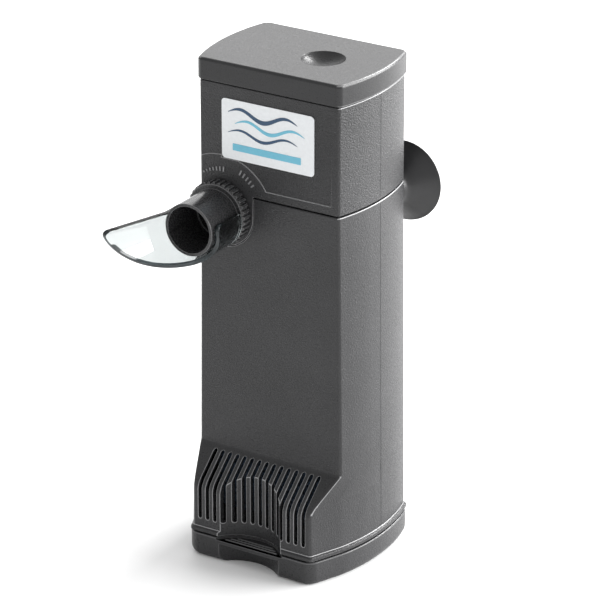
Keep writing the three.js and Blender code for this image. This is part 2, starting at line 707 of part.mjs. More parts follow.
function suctionCup(side) {
  return turnedAlongY(side * CUP_X, CUP_Z, [
    [0, 24.3], [3.7, 24.3], [4.2, 24.8], [4.2, 25.7], [3.7, 26.2], [3.0, 26.2], [3.0, 28.9],
    [5.6, 28.9], [6.2, 29.6], [6.6, 31.2], [8.6, 33.4], [12.0, 36.4], [15.0, 38.9], [15.9, 39.5],
    [15.9, CUP_RIM_Y], [14.8, CUP_RIM_Y], [12.6, 38.4], [9.2, 36.4], [5.2, 35.3], [0, 35.0],
  ], 24);
}

// ---- assembly -----------------------------------------------------------
const group = new THREE.Group();

function addPiece(name, manifold, material) {
  const mesh = manifold.getMesh();
  const geometry = new THREE.BufferGeometry();
  geometry.setAttribute('position', new THREE.Float32BufferAttribute(mesh.vertProperties, 3));
  geometry.setIndex(Array.from(mesh.triVerts));
  geometry.computeVertexNormals();
  const piece = new THREE.Mesh(geometry, material);
  piece.name = name;
  group.add(piece);
}

addPiece('container_shell', containerShell(), bodyGrey);
addPiece('base_cap', baseCap(), bodyGrey);
addPiece('foam_cartridge', foamCartridge(), foamBlue);
addPiece('head_shell', headShell(), bodyGrey);
addPiece('top_cap', topCap(), bodyGrey);
addPiece('front_label', frontLabel(), labelWhite);
addPiece('cable_gland', cableGland(), rubberBlack);
addPiece('stator_core', statorCore(), steel);
addPiece('coil_bobbin_left', coilBobbin(-1), bobbinWhite);
addPiece('coil_bobbin_right', coilBobbin(1), bobbinWhite);
addPiece('coil_winding_left', coilWinding(-1), copper);
addPiece('coil_winding_right', coilWinding(1), copper);
addPiece('pump_housing', pumpHousing(), pumpBlack);
addPiece('pump_cover', pumpCover(), pumpBlack);
addPiece('ceramic_shaft', ceramicShaft(), ceramic);
addPiece('shaft_bush_upper', shaftBush(162.4, 165.8, 161, 165.1), rubberBlack);
addPiece('shaft_bush_lower', shaftBush(121.6, 124.6, 122.2, 126), rubberBlack);
addPiece('rotor_magnet', rotorMagnet(), ferrite);
addPiece('impeller', impeller(), ceramic);
addPiece('flow_tube', flowTube(), pumpBlack);
addPiece('spout', spout(), clearPlastic);
addPiece('suction_bracket', suctionBracket(), pumpBlack);
addPiece('suction_cup_left', suctionCup(-1), rubberBlack);
addPiece('suction_cup_right', suctionCup(1), rubberBlack);

export default group;
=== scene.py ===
"""Internal aquarium power filter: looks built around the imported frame.

Shapes are made in millimetres and scaled to metres when they are placed.
X is right seen from the front, the front faces -Y, +Z is up.
"""
import math

import bmesh
import bpy
from mathutils import Matrix, Vector, noise


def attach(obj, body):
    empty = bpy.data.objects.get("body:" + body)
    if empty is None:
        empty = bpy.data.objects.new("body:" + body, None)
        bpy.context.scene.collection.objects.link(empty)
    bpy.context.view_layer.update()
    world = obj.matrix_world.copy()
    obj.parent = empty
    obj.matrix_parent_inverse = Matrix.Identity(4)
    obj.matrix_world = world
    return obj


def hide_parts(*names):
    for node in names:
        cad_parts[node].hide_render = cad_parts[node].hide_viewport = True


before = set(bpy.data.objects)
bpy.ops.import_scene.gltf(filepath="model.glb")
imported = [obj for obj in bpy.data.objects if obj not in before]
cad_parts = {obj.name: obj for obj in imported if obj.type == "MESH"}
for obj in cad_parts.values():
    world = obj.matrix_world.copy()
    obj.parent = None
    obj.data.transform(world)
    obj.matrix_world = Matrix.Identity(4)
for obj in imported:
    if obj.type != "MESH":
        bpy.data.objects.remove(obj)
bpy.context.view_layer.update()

MM = 0.001

# ---- dimensions, millimetres --------------------------------------------
FRONT_Y = -22.5
BACK_Y = 23.7
STEP_Y = -35.7
HALF_WIDTH = 33.65
SIDE_RADIUS = 77.5
SIDE_MID_Y = 1.0
FORWARD_TAPER = 1.35
CORNER = 1.0
LID_CORNER = 1.9
DRAFT = 0.0125
WALL = 2.0
CAP_JOINT_Z = 9.8
SHELL_BOTTOM_Z = 10.3
BEVEL_LOW_Z = 29.9
BEVEL_HIGH_Z = 41.5
SHELL_TOP_Z = 145.0
HEAD_Z = 145.6
HEAD_TOP_Z = 187.45
LID_Z = 187.95
TOP_Z = 196.3
TOP_BREAK = 0.4
TOP_BEND = 0.8
LEDGE_Z = 9.0
LEDGE_UNDER_Z = 7.5
CAP_SIDE = 1.67
DIMPLE_DEPTH = 3.4
GRIP_WALL = 3.5
LABEL_BOX = (-20.4, 19.5, 158.95, 182.25)
LABEL_CORNER = 1.5
LABEL_THICK = 0.3
SCOOP_X = -0.5
SCOOP_R = 17.4
SCOOP_DEPTH = 6.4
SLOT_COUNT = 15
SLOT_PITCH = 3.3
SLOT_R = 0.8
SLOT_LOW_Z = 15.6
SLOT_HIGH_Z = 40.2
RAIL_LOW_Z = 92
RAIL_HIGH_Z = 143.2
NOTCH_R = 13.8
NOTCH_BACK_Y = -12.6
OUTLET_X = -20.5
OUTLET_Z = 137.5
MOUTH_Y = -45.0
TUBE_OUT_R = 10.2
TUBE_IN_R = 9.05
RING_R = 12.7
RING_TEETH = 36
ROTOR_X = -4.0
ROTOR_Y = 2.0
HOUSING_R = 17.2
DIMPLE_X = 9.7
DIMPLE_Y = -0.4
DIMPLE_R = 8.25
GLAND_X = -12
GLAND_Z = 177
GLAND_R = 4.6
QUADRANT_R = 8.9
CUP_X = 21.0
CUP_Z = 138.0


# ---- mesh helpers -------------------------------------------------------
def make_object(name, mesh):
    obj = bpy.data.objects.new(name, mesh)
    bpy.context.scene.collection.objects.link(obj)
    return obj


def from_bmesh(name, bm):
    bmesh.ops.recalc_face_normals(bm, faces=bm.faces)
    mesh = bpy.data.meshes.new(name)
    bm.to_mesh(mesh)
    bm.free()
    return make_object(name, mesh)


def bake(obj):
    """Applies obj's modifiers to its mesh."""
    bpy.context.view_layer.update()
    graph = bpy.context.evaluated_depsgraph_get()
    mesh = bpy.data.meshes.new_from_object(obj.evaluated_get(graph))
    old = obj.data
    obj.modifiers.clear()
    obj.data = mesh
    bpy.data.meshes.remove(old)
    return obj


def boolean(obj, tools, operation):
    for tool in tools:
        mod = obj.modifiers.new("join", "BOOLEAN")
        mod.object = tool
        mod.operation = operation
        mod.solver = "EXACT"
    bake(obj)
    for tool in tools:
        bpy.data.objects.remove(tool)
    return obj


def cut(obj, *tools):
    return boolean(obj, tools, "DIFFERENCE")


def add(obj, *tools):
    return boolean(obj, tools, "UNION")


def keep(obj, *tools):
    return boolean(obj, tools, "INTERSECT")


def clean(obj, distance=0.02):
    bm = bmesh.new()
    bm.from_mesh(obj.data)
    bmesh.ops.remove_doubles(bm, verts=bm.verts, dist=distance)
    bmesh.ops.dissolve_degenerate(bm, edges=bm.edges, dist=distance)
    bmesh.ops.dissolve_limit(
        bm, angle_limit=math.radians(0.4), verts=bm.verts, edges=bm.edges, delimit={"NORMAL"})
    bm.to_mesh(obj.data)
    bm.free()
    return obj


def round_edges(obj, width, segments=2, angle=32, highlight_edges=False):
    """Rounds every edge sharper than angle; when asked, the rounded faces take the second material, a painted
    edge highlight.
    """
    clean(obj)
    if highlight_edges:
        obj.data.materials.append(None)
        obj.data.materials.append(None)
    mod = obj.modifiers.new("edges", "BEVEL")
    mod.width = width
    mod.segments = segments
    mod.limit_method = "ANGLE"
    mod.angle_limit = math.radians(angle)
    mod.miter_outer = "MITER_ARC"
    mod.use_clamp_overlap = False
    mod.material = 1 if highlight_edges else -1
    bake(obj)
    return obj


def mark_highlight_faces(obj, test, slot=1):
    """Gives a material slot to the faces whose centre and normal pass the test; slot 1 is the painted edge
    highlight, slot 0 takes it off.
    """
    for face in obj.data.polygons:
        if test(face.center, face.normal):
            face.material_index = slot


def smooth(obj, angle=40):
    obj.data.polygons.foreach_set("use_smooth", [True] * len(obj.data.polygons))
    obj.data.set_sharp_from_angle(angle=math.radians(angle))
    mod = obj.modifiers.new("normals", "WEIGHTED_NORMAL")
    mod.keep_sharp = True
    mod.weight = 100
    bake(obj)
    return obj


def box(x0, x1, y0, y1, z0, z1, name="box"):
    bm = bmesh.new()
    bmesh.ops.create_cube(bm, size=1.0)
    for v in bm.verts:
        v.co = Vector((
            x0 if v.co.x < 0 else x1, y0 if v.co.y < 0 else y1, z0 if v.co.z < 0 else z1))
    return from_bmesh(name, bm)


def spin(name, profile, segments, place):
    """Lathes (radius, height) points; place turns (x, y, height) into the frame."""
    bm = bmesh.new()
    rings = []
    for r, h in profile:
        if r < 1e-6:
            rings.append([bm.verts.new(place(0.0, 0.0, h))])
            continue
        ring = []
        for i in range(segments):
            a = 2 * math.pi * i / segments
            ring.append(bm.verts.new(place(r * math.cos(a), r * math.sin(a), h)))
        rings.append(ring)
    for low, high in zip(rings, rings[1:] + rings[:1]):
        if len(low) == 1 and len(high) == 1:
            continue
        for i in range(segments):
            j = (i + 1) % segments
            corners = [low[i % len(low)], low[j % len(low)], high[j % len(high)], high[i % len(high)]]
            unique = []
            for v in corners:
                if v not in unique:
                    unique.append(v)
            if len(unique) > 2 and bm.faces.get(unique) is None:
                bm.faces.new(unique)
    return from_bmesh(name, bm)


def along_y(x, z):
    return lambda a, b, h: (x + a, h, z + b)


def along_z(x, y):
    return lambda a, b, h: (x + a, y + b, h)


def rod(x, y, radius, z0, z1, segments=96, name="rod"):
    return spin(name, [(0, z0), (radius, z0), (radius, z1), (0, z1)], segments, along_z(x, y))


def bar(x, z, radius, y0, y1, segments=96, name="bar"):
    return spin(name, [(0, y0), (radius, y0), (radius, y1), (0, y1)], segments, along_y(x, z))


def bridge(bm, near, far):
    """Adds the solid between two outlines with matching points."""
    first = [bm.verts.new(point) for point in near]
    last = [bm.verts.new(point) for point in far]
    bm.faces.new(first)
    bm.faces.new(list(reversed(last)))
    for i in range(len(first)):
        j = (i + 1) % len(first)
        bm.faces.new((first[i], last[i], last[j], first[j]))


def prism(name, points, y0, y1):
    """Outline of (x, z) points between two Y planes."""
    bm = bmesh.new()
    bridge(bm, [(x, y0, z) for x, z in points], [(x, y1, z) for x, z in points])
    return from_bmesh(name, bm)


def rounded_rect(x0, x1, z0, z1, r, steps=8):
    points = []
    corners = [(x1 - r, z1 - r), (x0 + r, z1 - r), (x0 + r, z0 + r), (x1 - r, z0 + r)]
    for quarter, (x, z) in enumerate(corners):
        for i in range(steps + 1):
            a = (quarter + i / steps) * math.pi / 2
            points.append((x + r * math.cos(a), z + r * math.sin(a)))
    return points


# ---- body outline -------------------------------------------------------
def draft_at(z):
    return DRAFT * (HEAD_Z - z) if z < HEAD_Z else 0.0


def half_width(y, extra):
    held = max(y, FRONT_Y)
    bow = SIDE_RADIUS - math.sqrt(SIDE_RADIUS ** 2 - (held - SIDE_MID_Y) ** 2)
    slope = (FRONT_Y - SIDE_MID_Y) / SIDE_RADIUS
    return HALF_WIDTH + extra - bow - min(0.0, y - FRONT_Y) * slope * FORWARD_TAPER


def outline(front, back, extra, radius, side=26, corner=8):
    right = []
    for i in range(corner + 1):
        a = -math.pi / 2 + (math.pi / 2) * i / corner
        y = front + radius + radius * math.sin(a)
        right.append((half_width(y, extra) - radius + radius * math.cos(a), y))
    right[0] = (half_width(front, extra) - radius, front)
    for i in range(1, side):
        y = front + radius + (back - front - 2 * radius) * i / side
        right.append((half_width(y, extra), y))
    for i in range(corner + 1):
        a = (math.pi / 2) * i / corner
        y = back - radius + radius * math.sin(a)
        right.append((half_width(y, extra) - radius + radius * math.cos(a), y))
    right[-1] = (half_width(back, extra) - radius, back)
    return right + [(-x, y) for x, y in reversed(right)]


def loft(name, levels):
    """levels: (z, front, back, extra, radius) from the bottom up."""
    bm = bmesh.new()
    rings = [[bm.verts.new((x, y, z)) for x, y in outline(front, back, extra, radius)]
             for z, front, back, extra, radius in levels]
    bm.faces.new(list(reversed(rings[0])))
    bm.faces.new(rings[-1])
    count = len(rings[0])
    for low, high in zip(rings, rings[1:]):
        for i in range(count):
            j = (i + 1) % count
            bm.faces.new((low[i], low[j], high[j], high[i]))
    return from_bmesh(name, bm)


def body_level(z, grow, radius=CORNER, drafted=False):
    extra = grow + (draft_at(z) if drafted else 0.0)
    return (z, FRONT_Y - grow, BACK_Y + grow, extra, radius)


def container_front(z, bend=2.4):
    slope = (FRONT_Y - STEP_Y) / (BEVEL_HIGH_Z - BEVEL_LOW_Z)
    if abs(z - BEVEL_HIGH_Z) < TOP_BEND:
        return FRONT_Y - slope * (BEVEL_HIGH_Z + TOP_BEND - z) ** 2 / (4 * TOP_BEND)
    over = z - (BEVEL_LOW_Z - bend)
    if over <= 0:
        return STEP_Y
    if z < BEVEL_LOW_Z + bend:
        return STEP_Y + slope * over * over / (4 * bend)
    return min(FRONT_Y, STEP_Y + slope * (z - BEVEL_LOW_Z))


# ---- materials ----------------------------------------------------------
class Nodes:
    """Short names for building a node tree."""

    def __init__(self, name):
        self.material = bpy.data.materials.new(name)
        self.material.use_nodes = True
        self.tree = self.material.node_tree
        self.shader = self.tree.nodes["Principled BSDF"]
        self.place = self.new("ShaderNodeTexCoord").outputs["Object"]

    def new(self, kind, **values):
        node = self.tree.nodes.new(kind)
        for key, value in values.items():
            setattr(node, key, value)
        return node

    def link(self, a, b):
        self.tree.links.new(a, b)

    def noise(self, scale, detail=2.0, rough=0.5, stretch=None):
        node = self.new("ShaderNodeTexNoise")
        node.inputs["Scale"].default_value = scale
        node.inputs["Detail"].default_value = detail
        node.inputs["Roughness"].default_value = rough
        source = self.place
        if stretch:
            mapping = self.new("ShaderNodeMapping")
            mapping.inputs["Scale"].default_value = stretch
            self.link(self.place, mapping.inputs["Vector"])
            source = mapping.outputs["Vector"]
        self.link(source, node.inputs["Vector"])
        return node.outputs["Fac"]

    def ramp(self, fac, low, high, at=(0.35, 0.65)):
        node = self.new("ShaderNodeValToRGB")
        node.color_ramp.elements[0].position = at[0]
        node.color_ramp.elements[1].position = at[1]
        node.color_ramp.elements[0].color = (*low, 1)
        node.color_ramp.elements[1].color = (*high, 1)
        self.link(fac, node.inputs["Fac"])
        return node.outputs["Color"]

    def span(self, fac, low, high, source=(0.3, 0.7)):
        node = self.new("ShaderNodeMapRange")
        node.inputs["From Min"].default_value = source[0]
        node.inputs["From Max"].default_value = source[1]
        node.inputs["To Min"].default_value = low
        node.inputs["To Max"].default_value = high
        self.link(fac, node.inputs["Value"])
        return node.outputs["Result"]

    def bump(self, height, distance, strength=1.0, under=None):
        node = self.new("ShaderNodeBump")
        node.inputs["Strength"].default_value = strength
        node.inputs["Distance"].default_value = distance
        self.link(height, node.inputs["Height"])
        if under is not None:
            self.link(under, node.inputs["Normal"])
        return node.outputs["Normal"]

    def put(self, socket, value):
        target = self.shader.inputs[socket]
        if hasattr(value, "is_output"):
            self.link(value, target)
        else:
            target.default_value = value


def shade(colour, factor):
    return tuple(c * factor for c in colour)


def moulded(name, colour, roughness, grain=0.00002, cell=2400.0, specular=0.35, vary=0.12):
    """Injection-moulded plastic with a fine spark-eroded grain."""
    n = Nodes(name)
    fine = n.noise(cell, 2.5, 0.6)
    broad = n.noise(38.0, 3.0)
    n.put("Base Color", n.ramp(broad, shade(colour, 1 - vary), shade(colour, 1 + vary)))
    n.put("Roughness", n.span(fine, roughness - 0.07, roughness + 0.07))
    n.put("Specular IOR Level", specular)
    n.put("Normal", n.bump(fine, grain, 1.0, n.bump(broad, 0.0001, 0.3)))
    return n.material


def rubber(name, colour, roughness=0.42):
    n = Nodes(name)
    fine = n.noise(1500.0, 3.0)
    n.put("Base Color", n.ramp(n.noise(60.0), shade(colour, 0.8), shade(colour, 1.3)))
    n.put("Roughness", n.span(fine, roughness - 0.08, roughness + 0.1))
    n.put("Specular IOR Level", 0.45)
    n.put("Normal", n.bump(fine, 0.000012))
    return n.material


def clear(name):
    n = Nodes(name)
    n.put("Base Color", (0.55, 0.562, 0.558, 1))
    n.put("Transmission Weight", 1.0)
    n.put("IOR", 1.49)
    n.put("Roughness", n.span(n.noise(240.0, 3.0), 0.02, 0.07))
    n.put("Normal", n.bump(n.noise(95.0, 2.0), 0.00012, 0.5))
    volume = n.new("ShaderNodeVolumeAbsorption")
    volume.inputs["Color"].default_value = (0.5, 0.58, 0.6, 1)
    volume.inputs["Density"].default_value = 170.0
    n.link(volume.outputs["Volume"], n.tree.nodes["Material Output"].inputs["Volume"])
    return n.material


def painted_dark_lip(name):
    """The cut edge of clear plastic, painted dark: shade standing in for the tint seen along the wall's
    length.
    """
    n = Nodes(name)
    n.put("Base Color", n.ramp(n.noise(140.0, 3.0), (0.008, 0.014, 0.016), (0.02, 0.03, 0.034)))
    n.put("Roughness", n.span(n.noise(400.0), 0.1, 0.2))
    n.put("Transmission Weight", 0.25)
    n.put("IOR", 1.49)
    n.put("Normal", n.bump(n.noise(260.0), 0.00004, 0.6))
    return n.material


def foam_look(name):
    n = Nodes(name)
    cells = n.new("ShaderNodeTexVoronoi")
    cells.inputs["Scale"].default_value = 720.0
    n.link(n.place, cells.inputs["Vector"])
    distance = cells.outputs["Distance"]
    # darker towards each cell's centre, where the bump sinks into a pit: painted shade in the pits
    n.put("Base Color", n.ramp(distance, (0.004, 0.006, 0.009), (0.035, 0.05, 0.075), (0.1, 0.6)))
    n.put("Roughness", 0.95)
    n.put("Specular IOR Level", 0.15)
    n.put("Normal", n.bump(distance, 0.0006, 1.0))
    return n.material


def metal(name, colour, roughness, pitch=None, axis=2):
    """Bare metal; pitch gives fine parallel lines across the given axis."""
    n = Nodes(name)
    height = n.noise(900.0, 3.0, 0.6)
    if pitch:
        wave = n.new("ShaderNodeTexWave", bands_direction="XYZ"[axis])
        wave.inputs["Scale"].default_value = 2 * math.pi / pitch / 20.0
        wave.inputs["Distortion"].default_value = 0.25
        n.link(n.place, wave.inputs["Vector"])
        height = wave.outputs["Fac"]
    n.put("Base Color", n.ramp(height, shade(colour, 0.6), colour, (0.2, 0.8)))
    n.put("Metallic", 1.0)
    n.put("Roughness", n.span(n.noise(300.0), roughness - 0.08, roughness + 0.08))
    n.put("Normal", n.bump(height, 0.00006))
    return n.material


def printed(name, colour, roughness=0.35):
    n = Nodes(name)
    n.put("Base Color", n.ramp(n.noise(900.0, 2.0), shade(colour, 0.96), colour))
    n.put("Roughness", n.span(n.noise(2200.0), roughness - 0.05, roughness + 0.08))
    n.put("Normal", n.bump(n.noise(500.0), 0.000004))
    return n.material


BODY = moulded("body_plastic_grained", (0.023, 0.023, 0.0242), 0.31, 0.00022, 1700.0, 0.34)
HEAD = moulded("head_plastic_grained", (0.023, 0.023, 0.0242), 0.31, 0.00036, 1700.0, 0.34)
# EDGE, DULL_EDGE, LID_EDGE and PUMP_EDGE are lighter, glossier copies of the plastics: a painted highlight on
# rounded edges
EDGE = moulded("body_plastic_painted_edge_highlight", (0.26, 0.26, 0.265), 0.26, 0.000008, 2400.0, 0.5)
DULL_EDGE = moulded("body_plastic_soft_painted_edge_highlight", (0.07, 0.07, 0.072), 0.28, 0.000008, 2400.0, 0.5)
LID = moulded("cap_plastic_grained", (0.019, 0.019, 0.02), 0.32, 0.00006, 1800.0, 0.36)
LID_EDGE = moulded("cap_plastic_painted_edge_highlight", (0.12, 0.12, 0.122), 0.28, 0.000008, 2400.0, 0.5)
PUMP = moulded("pump_plastic_black", (0.028, 0.028, 0.029), 0.27, 0.000012, 1800.0, 0.45)
PUMP_EDGE = moulded("pump_plastic_painted_edge_highlight", (0.12, 0.12, 0.123), 0.22, 0.000006, 1800.0, 0.5)
# MARK: lighter than the body plastic, a painted highlight on the raised ticks
MARK = moulded("flow_mark_painted_highlight", (0.2, 0.2, 0.205), 0.3, 0.000008, 2400.0, 0.5)
RUBBER = rubber("rubber_black", (0.013, 0.013, 0.014), 0.36)
FOAM = foam_look("foam_open_cell")
CLEAR = clear("spout_clear")
# LIP: painted shade on the spout's lip
LIP = painted_dark_lip("spout_lip_painted_dark")
PAPER = printed("label_white", (0.7, 0.72, 0.735))
NAVY = printed("label_navy", (0.012, 0.05, 0.11))
TEAL = printed("label_teal", (0.13, 0.42, 0.55))
STEEL = metal("stator_laminations", (0.42, 0.43, 0.45), 0.4, 0.0005, 1)
COPPER = metal("enamelled_copper", (0.62, 0.24, 0.09), 0.32, 0.00042, 2)
FERRITE = moulded("ferrite_sintered", (0.022, 0.022, 0.025), 0.6, 0.00004, 1200.0)
CERAMIC = moulded("ceramic_polished", (0.75, 0.74, 0.7), 0.22, 0.000004, 900.0, 0.5, 0.04)
BOBBIN = moulded("natural_nylon", (0.62, 0.6, 0.53), 0.45, 0.00001, 1500.0, 0.4, 0.05)


def place(obj, body, material, slot, *nodes, angle=40, edge=None):
    """Finishes a piece made in millimetres and hands it to its body."""
    smooth(obj, angle)
    obj.data.transform(Matrix.Scale(MM, 4))
    if edge:
        obj.data.materials[0] = material
        obj.data.materials[1] = edge
    else:
        obj.data.materials.clear()
        obj.data.materials.append(material)
    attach(obj, body)
    if nodes:
        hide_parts(*nodes)
    return obj


def side_top_break(top):
    """Picks the rounded top edge along both sides of a shell, for the painted edge highlight."""
    return lambda c, n: c.z > top - TOP_BREAK and 0.15 < n.z < 0.95 and abs(n.x) > 0.3


def skirt_corner(c, n):
    """Picks the corners beside the sloping front above the skirt, for the painted edge highlight."""
    return 29.0 < c.z < BEVEL_HIGH_Z and n.y < -0.08 and n.z > 0.1 and 0.6 < abs(n.x) < 0.9


def quarter_round(radius, steps=4):
    """(rise, grow) pairs from the wall up to the flat top of a rounded edge."""
    turns = [math.pi / 2 * t / steps for t in range(steps + 1)]
    return [(radius * math.sin(a), radius * (1 - math.cos(a))) for a in turns]


def parting_line(body, material, z0, z1):
    """The fine raised line a split mould leaves down both sides."""
    half, rise, deep = 0.12, 0.05, 0.3
    section = ((-deep, -half), (rise, -half / 2), (rise, half / 2), (-deep, half))

    def across_at(z, side):
        wall = HALF_WIDTH + draft_at(z)
        return [(side * (wall + out), SIDE_MID_Y + across, z) for out, across in section]

    for side, word in ((-1, "left"), (1, "right")):
        bm = bmesh.new()
        bridge(bm, across_at(z0, side), across_at(z1, side))
        place(from_bmesh(body + "_parting_line_" + word, bm), body, material, "body_plastic", angle=20)


# ---- container ----------------------------------------------------------
SCOOP_SIDES = 96


def scoop(radius, y, z0, z1):
    """The finger scoop's cutter. 96, 128 or 160 sides cut the base cap cleanly;
    with 90, 100 or 120 the exact boolean breaks its mesh."""
    return rod(SCOOP_X, y, radius, z0, z1, SCOOP_SIDES, "scoop")


def slot_cutter():
    """All the intake slots as one cutter."""
    steps = 8

    def half_round(x, z, start):
        turns = [start + math.pi * k / steps for k in range(steps + 1)]
        return [(x + SLOT_R * math.cos(a), z + SLOT_R * math.sin(a)) for a in turns]

    bm = bmesh.new()
    for i in range(SLOT_COUNT):
        x = (i - SLOT_COUNT // 2) * SLOT_PITCH
        points = half_round(x, SLOT_LOW_Z + SLOT_R, math.pi) + half_round(x, SLOT_HIGH_Z - SLOT_R, 0.0)
        bridge(bm, [(px, STEP_Y - 3, pz) for px, pz in points], [(px, FRONT_Y + 2, pz) for px, pz in points])
    return from_bmesh("slots", bm)


def holder_rail():
    """The dovetail on the back that the suction bracket slides on."""
    section = [(-8.6, 23.2), (8.6, 23.2), (10.8, 26.1), (-10.8, 26.1)]
    bm = bmesh.new()
    bridge(bm, [(x, y, RAIL_LOW_Z) for x, y in section], [(x, y, RAIL_HIGH_Z) for x, y in section])
    return from_bmesh("rail", bm)


def container_shell():
    bends = [27.5 + 0.4 * k for k in range(13)]

    def outer(z, grow):
        return (z, container_front(z) - grow, BACK_Y + grow, draft_at(z) + grow, CORNER)

    def inner(z, front):
        return (z, front + WALL, BACK_Y - WALL, draft_at(z) - WALL, 1.4)

    flange = [(0, 0.6), (0.1, 0.85), (0.3, 1.0), (0.55, 1.05), (1.0, 1.05), (1.35, 0.97), (1.6, 0.78),
              (1.8, 0.45), (1.95, 0)]
    shell = loft("container_shell_fine", [
        *[outer(SHELL_BOTTOM_Z + rise, grow) for rise, grow in flange],
        *[outer(z, 0.0) for z in bends], *[outer(BEVEL_HIGH_Z + 0.2 * k, 0.0) for k in range(-4, 5)],
        *[outer(SHELL_TOP_Z - TOP_BREAK + rise, -grow) for rise, grow in quarter_round(TOP_BREAK)],
    ])
    scoop_y = STEP_Y - SCOOP_R + SCOOP_DEPTH
    cavity = loft("cavity", [
        inner(SHELL_BOTTOM_Z - 1, STEP_Y), *[inner(z, container_front(z)) for z in bends],
        inner(BEVEL_HIGH_Z, FRONT_Y), inner(SHELL_TOP_Z + 1, FRONT_Y),
    ])
    cut(cavity, scoop(SCOOP_R + WALL, scoop_y, 0, BEVEL_HIGH_Z))
    cut(shell, cavity, scoop(SCOOP_R, scoop_y, 0, BEVEL_HIGH_Z))
    cut(shell, bar(OUTLET_X, OUTLET_Z, NOTCH_R, FRONT_Y - 3, NOTCH_BACK_Y, 128))
    cut(shell, box(OUTLET_X - NOTCH_R, OUTLET_X + NOTCH_R, FRONT_Y - 3, NOTCH_BACK_Y, OUTLET_Z, HEAD_Z + 2))
    cut(shell, slot_cutter())
    add(shell, holder_rail())
    # the rounded edges, the side top edges and the skirt corners take EDGE: a painted highlight
    round_edges(shell, 0.2, 2, highlight_edges=True)
    mark_highlight_faces(shell, side_top_break(SHELL_TOP_Z))
    mark_highlight_faces(shell, skirt_corner)
    place(shell, "canister", BODY, "body_plastic", "container_shell", edge=EDGE)
    parting_line("canister", BODY, SHELL_BOTTOM_Z + 2.5, SHELL_TOP_Z - 1.0)


# ---- base cap -----------------------------------------------------------
def base_cap():
    proud, corner = 1.2, 3.2
    foot_rise, foot_in = 3.6, 2.7
    rim_outside, rim_inside, rim_top = -2.4, -3.95, 15.0

    def outer(z, grow):
        return (z, STEP_Y - grow, BACK_Y - 0.35 + grow, CAP_SIDE + grow, corner)

    def inner(z, grow, radius):
        return (z, STEP_Y - grow, BACK_Y + grow, CAP_SIDE + grow, radius)

    turns = [t * math.pi / 12 for t in range(7)]
    curve = [outer(foot_rise * (1 - math.cos(a)), proud - foot_in * (1 - math.sin(a))) for a in turns]
    cap = loft("base_cap_fine", curve + [outer(CAP_JOINT_Z - 0.3, proud), outer(CAP_JOINT_Z, proud - 0.25)])
    scoop_y = STEP_Y - proud - SCOOP_R + SCOOP_DEPTH
    wide = loft("wide", [inner(WALL, -proud, 2), inner(8.2, -proud, 2)])
    narrow = loft("narrow", [inner(8.1, rim_inside, 1), inner(20, rim_inside, 1)])
    cut(wide, scoop(SCOOP_R + GRIP_WALL, scoop_y, -1, 18))
    cut(narrow, scoop(SCOOP_R + GRIP_WALL, scoop_y, -1, 17.8))
    rim = loft("rim", [inner(9, rim_outside, 1), inner(rim_top, rim_outside, 1)])
    cut(rim, loft("rim_in", [inner(8, rim_inside, 1), inner(rim_top + 1, rim_inside, 1)]))
    cut(rim, scoop(SCOOP_R + WALL + 0.3, scoop_y + proud, CAP_JOINT_Z, 20))
    cut(cap, wide)
    cut(cap, narrow)
    add(cap, rim)
    cut(cap, scoop(SCOOP_R, scoop_y, -1, LEDGE_UNDER_Z))
    cut(cap, scoop(SCOOP_R + 0.5, scoop_y + proud, LEDGE_Z, 20))
    for i, half in enumerate((11.5, 10.0, 8.0)):
        y = STEP_Y + 0.5 + i * 1.5
        add(cap, box(SCOOP_X - half, SCOOP_X + half, y, y + 0.5, LEDGE_Z - 0.3, LEDGE_Z + 0.4))
    for y in (-14, 2, 16):
        add(cap, box(-28, 28, y - 0.8, y + 0.8, 1.5, 14.2))
    # the rounded edges take DULL_EDGE: a soft painted highlight
    round_edges(cap, 0.2, 2, highlight_edges=True)
    for v in cap.data.vertices:
        v.co.z = max(v.co.z, 0.0)
    return place(cap, "base", BODY, "body_plastic", "base_cap", edge=DULL_EDGE)


# ---- head ---------------------------------------------------------------
def quadrants(radius, y0, y1):
    wide = radius * 2
    web = box(OUTLET_X, OUTLET_X + wide, y0, y1, OUTLET_Z, OUTLET_Z + wide)
    add(web, box(OUTLET_X - wide, OUTLET_X + 0.01, y0, y1, OUTLET_Z - wide, OUTLET_Z + 0.01))
    add(web, bar(OUTLET_X, OUTLET_Z, 1.6, y0, y1, 24))
    return keep(web, bar(OUTLET_X, OUTLET_Z, radius, y0, y1, 96))


def panel_recess():
    """The label's shallow panel: it fades out at the top, runs off the left corner,
    and gives way to a disc about the outlet."""
    left, right, low, fade_low, fade_high, depth = -40.0, 26.8, 148.9, 182.3, 186.0, 0.35
    front = FRONT_Y - 1
    section = [(front, low), (FRONT_Y + depth, low), (FRONT_Y + depth, fade_low), (FRONT_Y, fade_high),
               (front, fade_high)]
    bm = bmesh.new()
    bridge(bm, [(left, y, z) for y, z in section], [(right, y, z) for y, z in section])
    disc = bar(OUTLET_X, OUTLET_Z, 22.3, front - 1, FRONT_Y + 2, 192)
    margin = 0.3
    cut(disc, box(LABEL_BOX[0] - margin, right, front - 2, FRONT_Y + 3, LABEL_BOX[2] - margin, fade_high))
    return cut(from_bmesh("panel", bm), disc)


def outlet_block(radius, y0, y1):
    block = bar(OUTLET_X, OUTLET_Z, radius, y0, y1, 128)
    return add(block, box(OUTLET_X - radius, OUTLET_X + radius, y0, y1, OUTLET_Z, HEAD_Z + 1.5))


